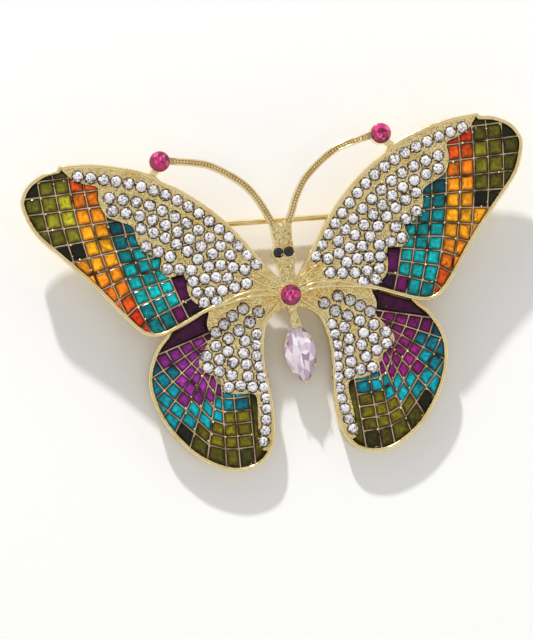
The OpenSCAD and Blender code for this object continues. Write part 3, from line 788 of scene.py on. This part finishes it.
for side in SIDES:
    wall_beads("upper", side)
    wall_beads("lower", side)
    grain_beads(("edge", "upper"), side, "upper")
    grain_beads(("lower", "string"), side, "lower")
    seat_shade_rings(("edge", "upper"), side, "upper")
    seat_shade_rings(("lower", "string"), side, "lower")
    rim_wire("upper", side, 0.2 * MM, 0.24 * MM)
    rim_wire("lower", side, 0.2 * MM, 0.22 * MM)
    veins(side)
    antenna_detail(side)


def dressed(node, material, width):
    """A CAD node with its shared vertices joined, its edges softened and a finished metal."""
    piece = frame["nodes"][node]
    piece.data.materials.clear()
    piece.data.materials.append(material)
    weld = piece.modifiers.new("weld", "WELD")
    weld.merge_threshold = WELD_GAP
    bevel = piece.modifiers.new("soft_edges", "BEVEL")
    bevel.width = width
    bevel.segments = 2
    bevel.limit_method = "ANGLE"
    bevel.angle_limit = math.radians(40)


for side in SIDES:
    dressed(f"upper_wing_{side}", cast_gold, 0.08 * MM)
    dressed(f"lower_wing_{side}", cast_gold, 0.08 * MM)
    dressed(f"upper_cells_{side}", wall_shade_gold, 0.05 * MM)
    dressed(f"lower_cells_{side}", wall_shade_gold, 0.05 * MM)
    dressed(f"antenna_{side}", channel_shade_gold, 0.06 * MM)
    dressed(f"tip_cup_{side}", smooth_gold, 0.08 * MM)
dressed("body_casting", cast_gold, 0.1 * MM)
for node in ("navette_cup", "hinge_bracket", "hinge_rivet", "pin_stem", "catch_housing", "lock_sleeve"):
    dressed(node, smooth_gold, 0.05 * MM)


# ---- Floor, light and camera ----------------------------------------------------

ROLL = math.radians(7.7)       # the brooch is turned this far anticlockwise in the view
DISTANCE = 300 * MM
SIDE_LEAN = math.radians(6)    # the view comes from a little to the left of square on
VIEW_HEIGHT = 81.9 * MM        # height of the view at the brooch
OFF_CENTRE = 3.14 * MM         # the thorax stone is this far right of, and above, the middle
SENSOR = 24                    # height of the camera's sensor in millimetres

right = PLANE @ Vector((math.cos(ROLL), math.sin(-ROLL), 0))
up = PLANE @ Vector((math.sin(ROLL), math.cos(ROLL), 0))
out = PLANE @ Vector((0, 0, 1))
thorax = sum(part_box("thorax_stone"), Vector()) / 2
aim = thorax - (right + up) * OFF_CENTRE
eye = aim + (out * math.cos(SIDE_LEAN) - right * math.sin(SIDE_LEAN)) * DISTANCE

camera_data = bpy.data.cameras.new("camera")
camera_data.sensor_fit = "VERTICAL"
camera_data.sensor_height = SENSOR
camera_data.lens = SENSOR * DISTANCE / VIEW_HEIGHT
camera_data.clip_start = 0.01
camera = bpy.data.objects.new("camera", camera_data)
bpy.context.scene.collection.objects.link(camera)
back = (eye - aim).normalized()
across = up.cross(back).normalized()
upward = back.cross(across)
camera.matrix_world = Matrix.Translation(eye) @ Matrix((across, upward, back)).transposed().to_4x4()
bpy.context.scene.camera = camera


FLOOR_HALF = 1500 * MM
FLOOR_GAP = 0.02 * MM       # from the brooch's lowest point down to the floor


def floor():
    """A plain sheet of white paper, just under the brooch."""
    bm = bmesh.new()
    height = cad_low[2] - FLOOR_GAP
    corners = [(-1, -1), (1, -1), (1, 1), (-1, 1)]
    bm.faces.new([bm.verts.new((x * FLOOR_HALF, y * FLOOR_HALF, height)) for x, y in corners])
    mesh = bpy.data.meshes.new("floor")
    bm.to_mesh(mesh)
    bm.free()
    material, _, shader = new_material("floor_paper")
    shader.inputs["Base Color"].default_value = (0.97, 0.97, 0.965, 1)
    shader.inputs["Roughness"].default_value = 0.9
    mesh.materials.append(material)
    sheet = bpy.data.objects.new("floor", mesh)
    bpy.context.scene.collection.objects.link(sheet)


def area_light(name, direction, distance, size, power):
    """A round white lamp, aimed at the thorax stone from one direction."""
    data = bpy.data.lights.new(name, "AREA")
    data.shape = "DISK"
    data.size = size
    data.energy = power
    lamp = bpy.data.objects.new(name, data)
    toward = Vector(direction).normalized()
    lamp.location = thorax + toward * distance
    lamp.rotation_euler = toward.to_track_quat("Z", "Y").to_euler()
    bpy.context.scene.collection.objects.link(lamp)


def studio():
    """An even pale room with a dark band high up, so that the gold has something to mirror."""
    world = bpy.data.worlds.new("studio")
    world.use_nodes = True
    tree = world.node_tree
    where = node_of(tree, "ShaderNodeTexCoord")
    split = node_of(tree, "ShaderNodeSeparateXYZ")
    tree.links.new(where.outputs["Generated"], split.inputs["Vector"])
    shade = ramp_of(tree, split.outputs["Z"], [
        (0.0, (0.6, 0.6, 0.6)), (0.25, (1.0, 1.0, 1.0)), (0.62, (1.0, 1.0, 1.0)),
        (0.74, (0.10, 0.095, 0.09)), (0.84, (0.24, 0.23, 0.22)), (0.90, (1.0, 1.0, 1.0)),
        (0.95, (0.42, 0.41, 0.40)), (1.0, (0.72, 0.71, 0.70))
    ])
    tree.links.new(shade, tree.nodes["Background"].inputs["Color"])
    tree.nodes["Background"].inputs["Strength"].default_value = 1.0
    bpy.context.scene.world = world


floor()
studio()
area_light("key", (-0.13, 0.86, 0.34), 2.0, 0.09, 38.0)
bpy.context.scene.view_settings.view_transform = "Standard"
